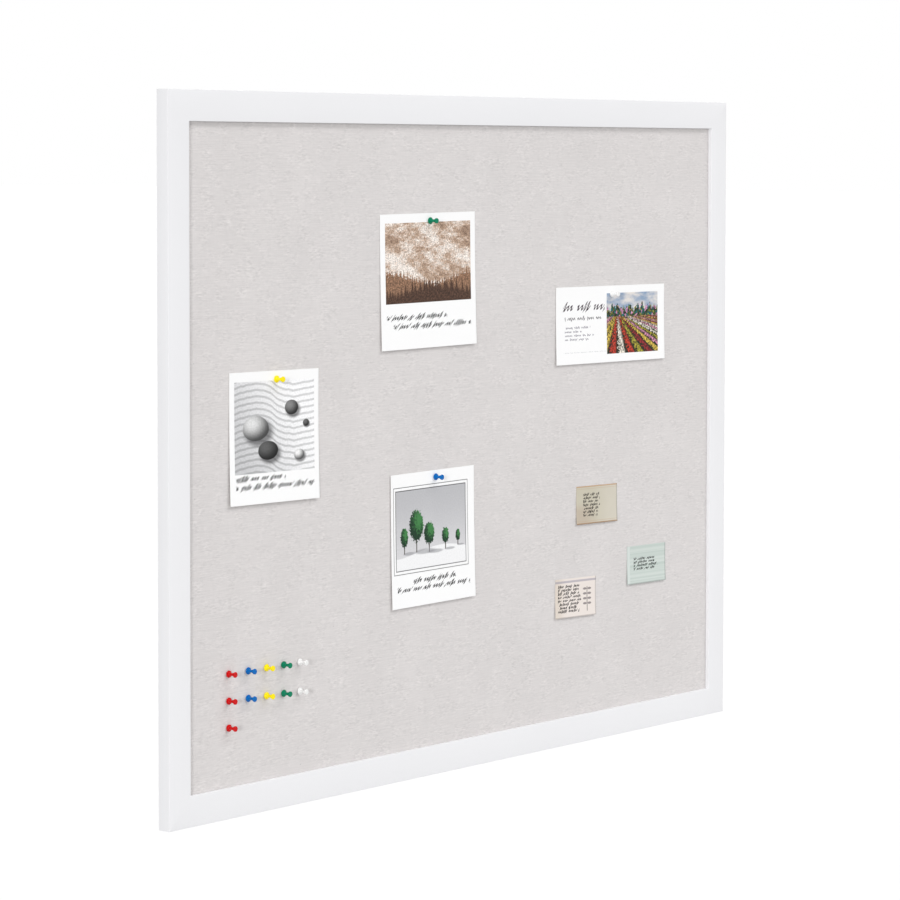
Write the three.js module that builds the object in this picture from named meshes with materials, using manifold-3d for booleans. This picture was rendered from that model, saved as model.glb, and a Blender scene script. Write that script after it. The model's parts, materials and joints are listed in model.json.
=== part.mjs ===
// Framed pin board: a linen-faced cork panel in a white painted wooden frame, with
// push pins, hanging cards and small stuck-on notes on its face.
// Millimetres. X runs to the right, Z up, and the face looks towards -Y.
// The origin is on the wall plane, level with the middle of the board.

import * as THREE from 'three';
import { mergeVertices } from 'three/addons/utils/BufferGeometryUtils.js';
import Module from 'manifold-3d';

// Frame: four mitred rails with a rebate behind a front lip
const boardWidth = 1219.2;
const boardHeight = 914.4;
const railFace = 39;
const rebateWidth = 8;
const lipThickness = 5.6;
const edgeRadius = 0.6;

// Panel layers and the linen turned over behind them
const linenThickness = 0.6;
const corkThickness = 7;
const backingThickness = 2.5;
const hemWidth = 32;

// Corner nails, driven from behind across each mitre
const nailInset = 10;
const nailLeg = 8;
const nailThickness = 0.6;
const nailHeight = 9;
const nailRecess = 0.4;

// Retaining points, driven into the rebate wall behind the panel
const pointWidth = 10;
const pointGrip = 8;
const pointReach = 9;
const pointTip = 3;
const pointThickness = 0.5;
const pointRecess = 0.6;

// Strap hangers on the side rails, each with a swinging ring and a screw
const hangerDrop = 215;
const hangerInset = 19;
const strapWidth = 12;
const strapLength = 30;
const strapThickness = 1;
const strapScrewDrop = 23;
const ringWire = 1.1;
const ringSideRoom = 7;
const ringLeg = 5;
const screwShank = 1.6;
const screwLength = 10;
const screwTip = 3;
const screwHead = 3.3;
const screwRim = 0.8;
const screwCrown = 2.3;
const screwHeadHeight = 1.8;

// Rubber bumpers low on the side rails
const bumperRadius = 5.5;
const bumperFace = 4;
const bumperSlope = 2;
const bumperRise = 48;
const wallRoom = 0.3;

// Push pins: a turned plastic head on a steel needle
const pinLength = 12.5;
const flangeRadius = 4.6;
const flangeThickness = 1.7;
const neckRadius = 3;
const waistRadius = 1.9;
const knobRadius = 3.6;
const knobThickness = 2.2;
const pinRounding = 0.5;
const needleRadius = 0.55;
const needleLength = 8.2;
const needleGrip = 6;
const needleTaper = 2.2;
const loosePinGap = 0.9;
const cardPinGap = 0.4;

// Paper
const cardThickness = 0.5;
const cardGap = 0.3;
const noteThickness = 0.3;
const noteGap = 0.2;

// Cards: left or right, and drop, are from that side and the top of the visible linen to the
// pin, which is pinInset below the card's top edge and pinShift to the right of its middle
const warmCard = { width: 202.4, height: 180, left: 478.7, drop: 128.2, pinInset: 10.3, pinShift: 3.5 };
const greyCard = { width: 171.2, height: 167.6, left: 166.6, drop: 325.6, pinInset: 10.8, pinShift: 3 };
const leafCard = { width: 179.2, height: 179.4, left: 491.1, drop: 473, pinInset: 9.2, pinShift: 5.4 };
const wideCard = { width: 264.4, height: 109.4, right: 245.5, drop: 238.3, pinInset: 11.9, pinShift: 1 };

// Notes: right and rise are from the right and the bottom of the visible linen to the centre
const beigeNote = { width: 98.2, height: 54.2, right: 279.6, rise: 298.4 };
const mintNote = { width: 95.6, height: 55.4, right: 156.1, rise: 201.8 };
const creamNote = { width: 96.8, height: 55.4, right: 330.1, rise: 169 };

// Spare pins: columns from the left of the visible linen, rows from its bottom at the red
// pin, and how far the middle row falls from each pin to the next
const spareColumns = { red: 75.3, blue: 112, yellow: 146.9, green: 180.2, white: 211.9 };
const spareRises = { upper: 143.7, middle: 109.6, lower: 75.4 };
const middleFall = 0.9;

// Clearances
const layerGap = 0.2;
const panelPlay = 1;
const mitreGap = 0.2;
const seatGap = 0.1;
const pocketGap = 0.2;
const eyeGap = 0.25;

// Roundness of turned and bent pieces
const turnedSides = 14;
const neckSteps = 4;
const needleSides = 6;
const channelSides = 8;
const ringSteps = 44;
const ringSides = 6;
const bowSteps = 6;
const edgeSteps = 2;
const eyeSteps = 7;
const holeSteps = 4;
const weldDistance = 1e-4;

// Depths, from the wall plane forwards
const eyeInner = ringWire + eyeGap;
const eyeOuter = eyeInner + strapThickness;
const bumperHeight = seatGap + 2 * eyeOuter + wallRoom;
const panelDepth = 2 * linenThickness + corkThickness + backingThickness + 3 * layerGap;
const railDepth = lipThickness + panelDepth + 2 * layerGap + pointThickness + pointRecess;
const railBack = -bumperHeight;
const railFront = railBack - railDepth;
const nailBack = railBack - nailRecess;
const lipBack = railFront + lipThickness;
const linenFront = lipBack + layerGap;
const corkFront = linenFront + linenThickness + layerGap;
const backingFront = corkFront + corkThickness + layerGap;
const hemFront = backingFront + backingThickness + layerGap;
const hemBack = hemFront + linenThickness;
const pointFront = hemBack + layerGap;
const cardBack = linenFront - cardGap;
const cardFront = cardBack - cardThickness;
const eyeDepth = railBack + seatGap + eyeOuter;

// Widths that follow from the frame
const sightWidth = boardWidth - 2 * railFace;
const sightHeight = boardHeight - 2 * railFace;
const rebateWall = railFace - rebateWidth;
const panelWidth = boardWidth - 2 * (rebateWall + panelPlay);
const panelHeight = boardHeight - 2 * (rebateWall + panelPlay);
const coreWidth = panelWidth - 2 * (linenThickness + layerGap);
const coreHeight = panelHeight - 2 * (linenThickness + layerGap);
const hangerX = boardWidth / 2 - hangerInset;
const hangerZ = boardHeight / 2 - hangerDrop;
const bumperZ = bumperRise - boardHeight / 2;
const ringHalf = strapWidth / 2 + ringSideRoom;

// Places on the face, measured from the edge of the visible linen
const fromLeft = (distance) => distance - sightWidth / 2;
const fromRight = (distance) => sightWidth / 2 - distance;
const fromBottom = (distance) => distance - sightHeight / 2;
const fromTop = (distance) => sightHeight / 2 - distance;

// Each card hangs from its pin, a little askew (degrees, anticlockwise)
const cards = [
  { name: 'photo_card_warm', pin: 'green', ...warmCard, x: fromLeft(warmCard.left), tilt: 0.7 },
  { name: 'photo_card_grey', pin: 'yellow', ...greyCard, x: fromLeft(greyCard.left), tilt: -0.4 },
  { name: 'photo_card_leaf', pin: 'blue', ...leafCard, x: fromLeft(leafCard.left), tilt: 0.7 },
  { name: 'greeting_card', pin: 'white', ...wideCard, x: fromRight(wideCard.right), tilt: -0.2 },
];

// Notes are stuck on, askew in the same way
const notes = [
  { name: 'note_beige', ...beigeNote, tilt: -0.9, colour: 0xe4d6c3 },
  { name: 'note_mint', ...mintNote, tilt: -0.7, colour: 0xcfe0d8 },
  { name: 'note_cream', ...creamNote, tilt: -1.4, colour: 0xefe3d8 },
];

// The rows of spare pins, from the top one down
const pinColours = { red: 0xd92a26, blue: 0x0a66bd, yellow: 0xffe21a, green: 0x0b7d58, white: 0xf4f3f1 };
const spareRows = [
  { rise: spareRises.upper, fall: 0, colours: Object.keys(pinColours) },
  { rise: spareRises.middle, fall: middleFall, colours: Object.keys(pinColours) },
  { rise: spareRises.lower, fall: 0, colours: ['red'] },
];

const surface = (color, roughness, metalness = 0) =>
  new THREE.MeshStandardMaterial({ color, roughness, metalness });
const whitePaint = surface(0xf0f0f1, 0.45);
const linen = surface(0xdcd8d7, 0.95);
const cork = surface(0xb98a5a, 0.9);
const hardboard = surface(0x8a6a4b, 0.8);
const steel = surface(0xc4c6c8, 0.35, 1);
const rubber = surface(0x2b2b2c, 0.9);
const paper = surface(0xfbfaf8, 0.7);

const wasm = await Module();
wasm.setup();

function asSolid(geometry) {
  const bare = geometry.clone();
  bare.deleteAttribute('normal');
  bare.deleteAttribute('uv');
  const welded = mergeVertices(bare, weldDistance);
  const vertProperties = Float32Array.from(welded.attributes.position.array);
  const triVerts = Uint32Array.from(welded.index.array);
  return new wasm.Manifold(new wasm.Mesh({ numProp: 3, vertProperties, triVerts }));
}

function asGeometry(solid) {
  const mesh = solid.getMesh();
  const geometry = new THREE.BufferGeometry();
  geometry.setAttribute('position', new THREE.BufferAttribute(Float32Array.from(mesh.vertProperties), 3));
  geometry.setIndex(Array.from(mesh.triVerts));
  geometry.computeVertexNormals();
  return geometry;
}

function cut(geometry, tools) {
  const solid = tools.reduce((left, tool) => left.subtract(asSolid(tool)), asSolid(geometry));
  return asGeometry(solid);
}

function part(name, geometry, material) {
  const mesh = new THREE.Mesh(geometry, material);
  mesh.name = name;
  return mesh;
}

// A flat block centred on the board, between two depths
function slab(width, height, front, back) {
  const block = new THREE.BoxGeometry(width, back - front, height);
  return block.translate(0, (front + back) / 2, 0);
}

// A round hole or rod along Y, between two depths
function round(radius, front, back, x, z) {
  const rod = new THREE.CylinderGeometry(radius, radius, back - front, channelSides);
  return rod.translate(x, (front + back) / 2, z);
}

// A plain extrusion along Z, with its round stretches in so many steps
function extrude(outline, depth, curveSegments) {
  return new THREE.ExtrudeGeometry(outline, { depth, curveSegments, bevelEnabled: false });
}

// An outline in X and Z, given a thickness from one depth to another
function plate(outline, front, back) {
  const flat = extrude(outline, back - front, holeSteps);
  return flat.rotateX(Math.PI / 2).translate(0, back, 0);
}

function polygon(points) {
  return new THREE.Shape(points.map(([x, y]) => new THREE.Vector2(x, y)));
}

// The rail's section: x is the distance in from the outer edge, y the depth
function railSection() {
  const section = new THREE.Shape();
  const arcDepth = railFront + edgeRadius;
  section.moveTo(0, railBack);
  section.lineTo(0, arcDepth);
  section.absarc(edgeRadius, arcDepth, edgeRadius, Math.PI, 1.5 * Math.PI, false);
  section.lineTo(railFace - edgeRadius, railFront);
  section.absarc(railFace - edgeRadius, arcDepth, edgeRadius, 1.5 * Math.PI, 2 * Math.PI, false);
  section.lineTo(railFace, lipBack);
  section.lineTo(rebateWall, lipBack);
  section.lineTo(rebateWall, railBack);
  section.closePath();
  return section;
}

// A rail along X whose outer edge is at z = 0, with both ends cut at 45 degrees
function mitredBar(length) {
  const bar = extrude(railSection(), length, edgeSteps);
  const corners = bar.attributes.position;
  for (let i = 0; i < corners.count; i += 1) {
    const inset = corners.getX(i) + mitreGap / 2;
    const nearEnd = corners.getZ(i) < length / 2;
    corners.setZ(i, nearEnd ? inset : length - inset);
  }
  return bar.rotateY(Math.PI / 2).translate(-length / 2, 0, 0);
}

// The bent nail at the corner whose outer edges meet at x = 0 and z = 0
function cornerNail(grow, back) {
  const outer = grow - nailInset;
  const inner = -nailInset - nailThickness - grow;
  const end = -nailInset - nailLeg - grow;
  const outline = polygon([
    [outer, outer],
    [end, outer],
    [end, inner],
    [inner, inner],
    [inner, end],
    [outer, end],
  ]);
  return plate(outline, nailBack - nailHeight - grow, back);
}

// The retaining point for a rail along X: its tip is in the wood, its tongue behind the panel
function retainingPoint(grow) {
  const half = pointWidth / 2 + grow;
  const tip = -rebateWall + pointGrip + grow;
  const outline = polygon([
    [-half, -rebateWall - pointReach],
    [half, -rebateWall - pointReach],
    [half, tip - pointTip],
    [0, tip],
    [-half, tip - pointTip],
  ]);
  return plate(outline, pointFront - grow, pointFront + pointThickness + grow);
}

// The nail's slot runs out through the rail's back, so that the nail can be driven in
const nailSlot = () => cornerNail(pocketGap, railBack + pocketGap);

function rail(length, screwPlaces) {
  const pilotDepth = railBack + seatGap + strapThickness - screwLength - pocketGap;
  const pilots = screwPlaces.map((x) =>
    round(screwShank + pocketGap, pilotDepth, railBack + pocketGap, x, -hangerInset));
  return cut(mitredBar(length), [
    nailSlot().translate(length / 2, 0, 0),
    nailSlot().rotateY(-Math.PI / 2).translate(-length / 2, 0, 0),
    retainingPoint(pocketGap),
    ...pilots,
  ]);
}

// The four rails and what is driven into them, each in a group turned to its side
function buildFrame() {
  const frame = new THREE.Group();
  const screwLevel = hangerZ - strapScrewDrop;
  const sides = [
    { side: 'top', length: boardWidth, reach: boardHeight / 2, turn: 0, screws: [] },
    { side: 'right', length: boardHeight, reach: boardWidth / 2, turn: 1, screws: [-screwLevel] },
    { side: 'bottom', length: boardWidth, reach: boardHeight / 2, turn: 2, screws: [] },
    { side: 'left', length: boardHeight, reach: boardWidth / 2, turn: 3, screws: [screwLevel] },
  ];
  for (const { side, length, reach, turn, screws } of sides) {
    const group = new THREE.Group();
    const place = new THREE.Group();
    place.position.z = reach;
    place.add(part(`rail_${side}`, rail(length, screws), whitePaint));
    place.add(part(`retaining_point_${side}`, retainingPoint(0), steel));
    group.rotation.y = turn * Math.PI / 2;
    group.add(place);
    frame.add(group);
  }
  const corners = [
    { name: 'top_right', x: 1, z: 1, turn: 0 },
    { name: 'bottom_right', x: 1, z: -1, turn: 1 },
    { name: 'bottom_left', x: -1, z: -1, turn: 2 },
    { name: 'top_left', x: -1, z: 1, turn: 3 },
  ];
  for (const { name, x, z, turn } of corners) {
    const nail = part(`corner_nail_${name}`, cornerNail(0, nailBack), steel);
    nail.position.set(x * boardWidth / 2, 0, z * boardHeight / 2);
    nail.rotation.y = turn * Math.PI / 2;
    frame.add(nail);
  }
  return frame;
}

// Linen wrapped round the panel and turned over behind it, cork under it, and the backing
function buildPanel(channels) {
  const panel = new THREE.Group();
  const wrap = slab(panelWidth, panelHeight, linenFront, hemBack);
  const inside = slab(
    panelWidth - 2 * linenThickness,
    panelHeight - 2 * linenThickness,
    linenFront + linenThickness,
    hemFront,
  );
  const opening = slab(
    panelWidth - 2 * hemWidth,
    panelHeight - 2 * hemWidth,
    hemFront - layerGap,
    hemBack + layerGap,
  );
  const corkBlock = slab(coreWidth, coreHeight, corkFront, corkFront + corkThickness);
  const backingBlock = slab(coreWidth, coreHeight, backingFront, backingFront + backingThickness);
  panel.add(part('linen_cover', cut(wrap, [inside, opening, ...channels]), linen));
  panel.add(part('cork_sheet', cut(corkBlock, channels), cork));
  panel.add(part('backing_board', cut(backingBlock, channels), hardboard));
  return panel;
}

// A strip rolled into an eye round the ring's bar, with a hole for its screw
function strap() {
  const outline = new THREE.Shape();
  outline.moveTo(0, -strapLength);
  outline.lineTo(0, 0);
  const meets = Math.acos((strapThickness - eyeOuter) / eyeOuter);
  outline.absarc(eyeOuter, 0, eyeOuter, Math.PI, -meets, true);
  outline.lineTo(strapThickness, -strapLength);
  outline.closePath();
  const eye = new THREE.Path();
  eye.absarc(eyeOuter, 0, eyeInner, 0, 2 * Math.PI, false);
  outline.holes.push(eye);
  const strip = extrude(outline, strapWidth, eyeSteps);
  const across = new THREE.Matrix4().makeBasis(
    new THREE.Vector3(0, 1, 0),
    new THREE.Vector3(0, 0, 1),
    new THREE.Vector3(1, 0, 0),
  );
  strip.applyMatrix4(across).translate(-strapWidth / 2, 0, 0);
  const hole = round(screwShank + pocketGap, -pocketGap, strapThickness + pocketGap, 0, -strapScrewDrop);
  return cut(strip, [hole]);
}

// A D-shaped ring that hangs from its straight bar at z = 0
function hangingRing() {
  const bar = strapWidth / 2 + ringSideRoom / 2;
  const points = [-bar, -strapWidth / 2, 0, strapWidth / 2, bar].map((x) => new THREE.Vector3(x, 0, 0));
  for (let i = 0; i <= bowSteps; i += 1) {
    const angle = i * Math.PI / bowSteps;
    points.push(new THREE.Vector3(ringHalf * Math.cos(angle), 0, -ringLeg - ringHalf * Math.sin(angle)));
  }
  const curve = new THREE.CatmullRomCurve3(points, true);
  return new THREE.TubeGeometry(curve, ringSteps, ringWire, ringSides, true);
}

function lathe(points, sides) {
  return new THREE.LatheGeometry(points.map(([radius, y]) => new THREE.Vector2(radius, y)), sides);
}

// A pan-head screw whose head stands behind y = 0 and whose shank runs forwards
function screw() {
  return lathe([
    [0, -screwLength],
    [screwShank, screwTip - screwLength],
    [screwShank, 0],
    [screwHead, 0],
    [screwHead, screwRim],
    [screwCrown, screwHeadHeight],
    [0, screwHeadHeight],
  ], turnedSides);
}

function bumper() {
  return lathe([
    [0, seatGap],
    [bumperRadius, seatGap],
    [bumperRadius, bumperHeight - bumperSlope],
    [bumperFace, bumperHeight],
    [0, bumperHeight],
  ], turnedSides);
}

function buildHangers() {
  const hangers = new THREE.Group();
  for (const [side, sign] of [['left', -1], ['right', 1]]) {
    const hanger = new THREE.Group();
    hanger.position.set(sign * hangerX, 0, hangerZ);
    const strapPart = part(`hanger_strap_${side}`, strap(), steel);
    strapPart.position.y = railBack + seatGap;
    const ring = part(`hanger_ring_${side}`, hangingRing(), steel);
    ring.position.y = eyeDepth;
    const screwPart = part(`hanger_screw_${side}`, screw(), steel);
    screwPart.position.set(0, railBack + 2 * seatGap + strapThickness, -strapScrewDrop);
    hanger.add(strapPart, ring, screwPart);
    const foot = part(`bumper_${side}`, bumper(), rubber);
    foot.position.set(sign * hangerX, railBack, bumperZ);
    hangers.add(hanger, foot);
  }
  return hangers;
}

// The head stands in front of y = 0, and its bore takes the needle
function pinHead() {
  const neck = new THREE.QuadraticBezierCurve(
    new THREE.Vector2(neckRadius, knobThickness - pinLength),
    new THREE.Vector2(2 * waistRadius - neckRadius, (knobThickness - flangeThickness - pinLength) / 2),
    new THREE.Vector2(neckRadius, -flangeThickness),
  );
  const bore = needleRadius + pocketGap;
  const boreEnd = -needleGrip - pocketGap;
  return lathe([
    [0, -pinLength],
    [knobRadius - pinRounding, -pinLength],
    [knobRadius, pinRounding - pinLength],
    [knobRadius, knobThickness - pinRounding - pinLength],
    ...neck.getPoints(neckSteps).map((point) => [point.x, point.y]),
    [flangeRadius, -flangeThickness],
    [flangeRadius, -pinRounding],
    [flangeRadius - pinRounding, 0],
    [bore, 0],
    [bore, boreEnd],
    [0, boreEnd],
  ], turnedSides);
}

function needle() {
  return lathe([
    [0, -needleGrip],
    [needleRadius, -needleGrip],
    [needleRadius, needleLength - needleTaper],
    [0, needleLength],
  ], needleSides);
}

function buildPin(name, colour, x, z, flangeBack) {
  const pin = new THREE.Group();
  pin.position.set(x, flangeBack, z);
  pin.add(part(`${name}_head`, pinHead(), surface(pinColours[colour], 0.25)));
  pin.add(part(`${name}_needle`, needle(), steel));
  return pin;
}

// Every pin with its place: the spare ones on the linen, then those through the cards
function listPins() {
  const pins = [];
  const count = {};
  const add = (colour, x, z, flangeBack) => {
    count[colour] = (count[colour] ?? 0) + 1;
    pins.push({ name: `pin_${colour}_${count[colour]}`, colour, x, z, flangeBack });
  };
  for (const { rise, fall, colours } of spareRows) {
    for (const [place, colour] of colours.entries()) {
      const height = fromBottom(rise - place * fall);
      add(colour, fromLeft(spareColumns[colour]), height, linenFront - loosePinGap);
    }
  }
  for (const card of cards) {
    add(card.pin, card.x, fromTop(card.drop), cardFront - cardPinGap);
  }
  return pins;
}

function rectangle(width, height) {
  const right = width / 2;
  const top = height / 2;
  return polygon([[-right, -top], [right, -top], [right, top], [-right, top]]);
}

// A card is drawn about its pin hole, so it turns askew on the pin
function buildCard({ name, width, height, x, drop, pinInset, pinShift, tilt }) {
  const right = width / 2 - pinShift;
  const left = right - width;
  const bottom = pinInset - height;
  const outline = polygon([[left, bottom], [right, bottom], [right, pinInset], [left, pinInset]]);
  const hole = new THREE.Path();
  hole.absarc(0, 0, needleRadius + pocketGap, 0, 2 * Math.PI, false);
  outline.holes.push(hole);
  const card = part(name, plate(outline, -cardThickness, 0), paper);
  card.position.set(x, cardBack, fromTop(drop));
  card.rotation.y = -THREE.MathUtils.degToRad(tilt);
  return card;
}

function buildNote({ name, width, height, right, rise, tilt, colour }) {
  const outline = rectangle(width, height);
  const note = part(name, plate(outline, -noteThickness, 0), surface(colour, 0.75));
  note.position.set(fromRight(right), linenFront - noteGap, fromBottom(rise));
  note.rotation.y = -THREE.MathUtils.degToRad(tilt);
  return note;
}

const pins = listPins();
const channels = pins.map(({ x, z, flangeBack }) =>
  round(needleRadius + pocketGap, linenFront - layerGap, flangeBack + needleLength + pocketGap, x, z));

const board = new THREE.Group();
board.add(buildFrame(), buildPanel(channels), buildHangers());
board.add(...cards.map(buildCard), ...notes.map(buildNote));
board.add(...pins.map(({ name, colour, x, z, flangeBack }) => buildPin(name, colour, x, z, flangeBack)));

export default board;
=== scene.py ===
"""The looks of a framed pin board: a linen face in painted rails, with pins, cards and notes.

Metres, +Z up. The face looks towards -Y, and the origin is on the wall plane.
"""

import json
import math

import bmesh
import bpy
from mathutils import Matrix, Vector

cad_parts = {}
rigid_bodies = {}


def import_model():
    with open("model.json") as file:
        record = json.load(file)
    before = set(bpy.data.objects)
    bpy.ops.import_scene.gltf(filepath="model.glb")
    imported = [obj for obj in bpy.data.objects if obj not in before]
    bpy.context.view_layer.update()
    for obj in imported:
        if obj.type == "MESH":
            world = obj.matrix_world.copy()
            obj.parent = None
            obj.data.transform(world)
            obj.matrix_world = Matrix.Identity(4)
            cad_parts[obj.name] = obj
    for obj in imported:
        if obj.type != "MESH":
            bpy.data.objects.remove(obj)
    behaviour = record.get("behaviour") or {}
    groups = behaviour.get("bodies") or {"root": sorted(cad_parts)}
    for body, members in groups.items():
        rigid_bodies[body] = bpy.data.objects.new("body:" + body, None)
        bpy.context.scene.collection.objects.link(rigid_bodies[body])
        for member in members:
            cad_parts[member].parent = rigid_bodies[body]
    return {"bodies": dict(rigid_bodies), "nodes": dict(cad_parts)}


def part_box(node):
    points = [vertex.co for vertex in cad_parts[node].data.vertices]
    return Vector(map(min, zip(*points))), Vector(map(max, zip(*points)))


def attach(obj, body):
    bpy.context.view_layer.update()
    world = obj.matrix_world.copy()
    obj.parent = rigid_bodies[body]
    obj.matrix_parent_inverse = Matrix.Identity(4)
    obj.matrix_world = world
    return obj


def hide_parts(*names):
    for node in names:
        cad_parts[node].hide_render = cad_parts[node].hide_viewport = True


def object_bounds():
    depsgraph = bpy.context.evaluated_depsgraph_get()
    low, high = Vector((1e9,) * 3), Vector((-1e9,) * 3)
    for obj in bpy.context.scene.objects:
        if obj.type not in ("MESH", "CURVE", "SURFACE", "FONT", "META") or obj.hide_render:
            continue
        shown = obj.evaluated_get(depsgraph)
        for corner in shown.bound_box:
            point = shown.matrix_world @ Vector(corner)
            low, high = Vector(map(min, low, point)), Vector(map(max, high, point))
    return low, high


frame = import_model()
cad_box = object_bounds()

MM = 0.001
QUARTER = math.pi / 2
SMOOTH_ANGLE = math.radians(32)
WELD = 1e-6
FRONT = Vector((0.0, -1.0, 0.0))
LEFT = Vector((-1.0, 0.0, 0.0))

# Rails, in millimetres: what the frame's boxes don't give
REBATE_WIDTH = 8.0
LIP_THICKNESS = 5.6
FRONT_ROUNDING = 0.6
BACK_ROUNDING = 0.5
MITRE_GAP = 0.04
RAIL_STATIONS = 24
FRONT_STEPS = 6
BACK_STEPS = 3

# Linen, in millimetres
CLOTH_THICKNESS = 0.6
CLOTH_FOLD = 0.9
HEM_WIDTH = 32.0
HEM_SEAM = 0.4
YARN_PITCH = 0.62
LINEN_STEPS = (60, 44)
FOLD_STEPS = 4
HEM_STEPS = 6
CORNER_STEPS = 4

# Push pins, in millimetres, along the pin from the flange's back
FLANGE_THICKNESS = 1.7
FLANGE_ROUNDING = 0.55
NECK_RADIUS = 3.0  # the knob starts here, and its rounding makes it wider
WAIST_RADIUS = 1.9
KNOB_THICKNESS = 2.2
KNOB_ROUNDING = 0.6
GATE_RADIUS = 0.8
GATE_SLOPE = 0.1
GATE_MIDDLE = 0.3
GATE_DEPTH = 0.12
NECK_STEPS = 14
ROUNDING_STEPS = 5
NEEDLE_POINT = 0.03
NEEDLE_TAPER = 2.2
NEEDLE_SWELL = ((0.45, 0.4), (0.85, 0.8), (1.0, 1.1))  # shares of the wire's radius and of the taper
TURNED_SIDES = 48
PIN_COLOURS = {
    "red": (204, 18, 19),
    "blue": (0, 105, 184),
    "yellow": (255, 234, 24),
    "green": (6, 128, 93),
    "white": (242, 242, 241),
}

# Paper, in millimetres: how far a sheet's lower, right and left edges stand away from the linen
CARD_CURLS = {
    "photo_card_warm": (2.4, 0.2, 0.1),
    "photo_card_grey": (3.2, 0.3, 0.0),
    "photo_card_leaf": (2.3, 0.2, 0.9),
    "greeting_card": (2.0, 0.2, 0.3),
}
NOTE_CURL = (1.8, 0.2, 0.1)
PAPER_STEPS = 20
PAPER_ROUGHNESS = 0.68
PICTURE_ROUGHNESS = 0.45

# Pens: a loop's height and length and the stroke's width, in millimetres, and how far the line leans
CARD_PEN = (2.6, 4.8, 1.5, 1.15)
HEADING_PEN = (5.2, 8.0, 1.9, 0.9)
SUBTITLE_PEN = (2.2, 4.4, 1.1, 0.1)
BODY_PEN = (1.3, 3.4, 0.75, 0.1)
RULE_PEN = (0.5, 2.4, 0.4, 0.0)
BEIGE_PEN = (1.5, 3.7, 1.05, 1.0)
MINT_PEN = (1.5, 3.7, 1.05, 1.4)
CREAM_PEN = (1.6, 3.7, 1.1, 0.8)

# Colours, from 0 to 255
WHITE = (255, 255, 255)
CARD_WHITE = (252, 252, 252)
INK = (16, 14, 16)

# A painted shadow along a note's right and lower edges, in millimetres: where the dark rim starts and where
# it is full
PAINTED_SHADOW_RIGHT = (2.2, 1.2)
PAINTED_SHADOW_LOWER = (1.8, 0.8)
PAINTED_SHADOW_DEPTH = 0.68

# Back hardware, in millimetres
SCREEN_PITCH = 1.1
POINT_COUNTS = {"top": 5, "right": 3, "bottom": 5, "left": 3}
POINT_WIDTH = 10.0
POINT_TIP = 3.0
POINT_BEVEL = 0.12
STRAP_THICKNESS = 1.0
STRAP_BEVEL = 0.15
STRAP_STEPS = 10
EYE_END = math.radians(298)
EYE_STEPS = 40
RING_WIRE = 1.1
RING_CORNER = 3.5
RING_SIDES = 14
BAR_STEPS = 8
BEND_STEPS = 6
BOW_STEPS = 36
SCREW_HEAD = 3.3
SCREW_HEAD_HEIGHT = 1.8
SCREW_RIM = 0.35
SCREW_SHANK = 1.6
SCREW_LENGTH = 10.0
SCREW_TAPER = 3.0
SCREW_POINT = 0.1
SCREW_SIDES = 40
CROWN_FLAT = 0.2
CROWN_STEPS = 8
RECESS_LENGTH = 3.4
RECESS_WIDTHS = (0.8, 0.816)
RECESS_DEPTH = 0.9
RECESS_TURN = 0.4
SLIVER = 1e-5
BUMPER_BACK = 0.6
BUMPER_EASE = 0.2
BUMPER_ROUNDING = 2.0
DOME_STEPS = 8
DIMPLE_RADIUS = 1.6
DIMPLE_FLOOR = 1.3
DIMPLE_MIDDLE = 0.4
DIMPLE_DEPTH = 0.25

# The camera, from the photograph's frame of 900 by 900 pixels
FRAME_PIXELS = 900
FOCAL_PIXELS = 3488.41
CENTRE_ROW = 350.0
SENSOR_WIDTH = 36.0
CAMERA_PLACE = Vector((-3.73720, -2.93967, 0.36982))
CAMERA_YAW = 0.901098
CAMERA_PITCH = -0.054147
CAMERA_ROLL = 0.001535

# Light: what a lamp adds to a pale surface that faces one way, where it comes from, its softness in degrees
WORLD_LEVEL = 0.49
TOP_LEVEL = 0.268
TOP_FROM = Vector((0.5, -1.0, 1.25))
TOP_SPREAD = (-0.6, 0.0, 0.6)
TOP_SOFTNESS = 28
LAMPS = [
    ("left_light", 0.168, Vector((-1.95, -1.0, 0.25)), 9, FRONT),
    ("side_light", 0.085, Vector((-1.0, 0.0, 0.1)), 20, LEFT),
    ("back_light", 0.25, Vector((0.5, 1.0, 0.8)), 30, -FRONT),
]
FLOOR_DROP = 1.2
FLOOR_SIZE = 400.0
FLOOR_COLOUR = (203, 203, 203)
FLOOR_GLOW = 0.385


def srgb(red, green, blue):
    """A colour of 0 to 255 as the linear colour that a shader takes."""
    linear = []
    for channel in (red, green, blue):
        share = channel / 255
        low = share / 12.92
        high = ((share + 0.055) / 1.055) ** 2.4
        linear.append(low if share <= 0.04045 else high)
    return (*linear, 1.0)


class Value:
    """What a node gives, which plain arithmetic takes on to further nodes."""

    def __init__(self, graph, socket):
        self.graph = graph
        self.socket = socket

    def __add__(self, other):
        return self.graph.math("ADD", self, other)

    def __sub__(self, other):
        return self.graph.math("SUBTRACT", self, other)

    def __rsub__(self, other):
        return self.graph.math("SUBTRACT", other, self)

    def __mul__(self, other):
        return self.graph.math("MULTIPLY", self, other)

    def __truediv__(self, number):
        return self * (1 / number)


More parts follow.
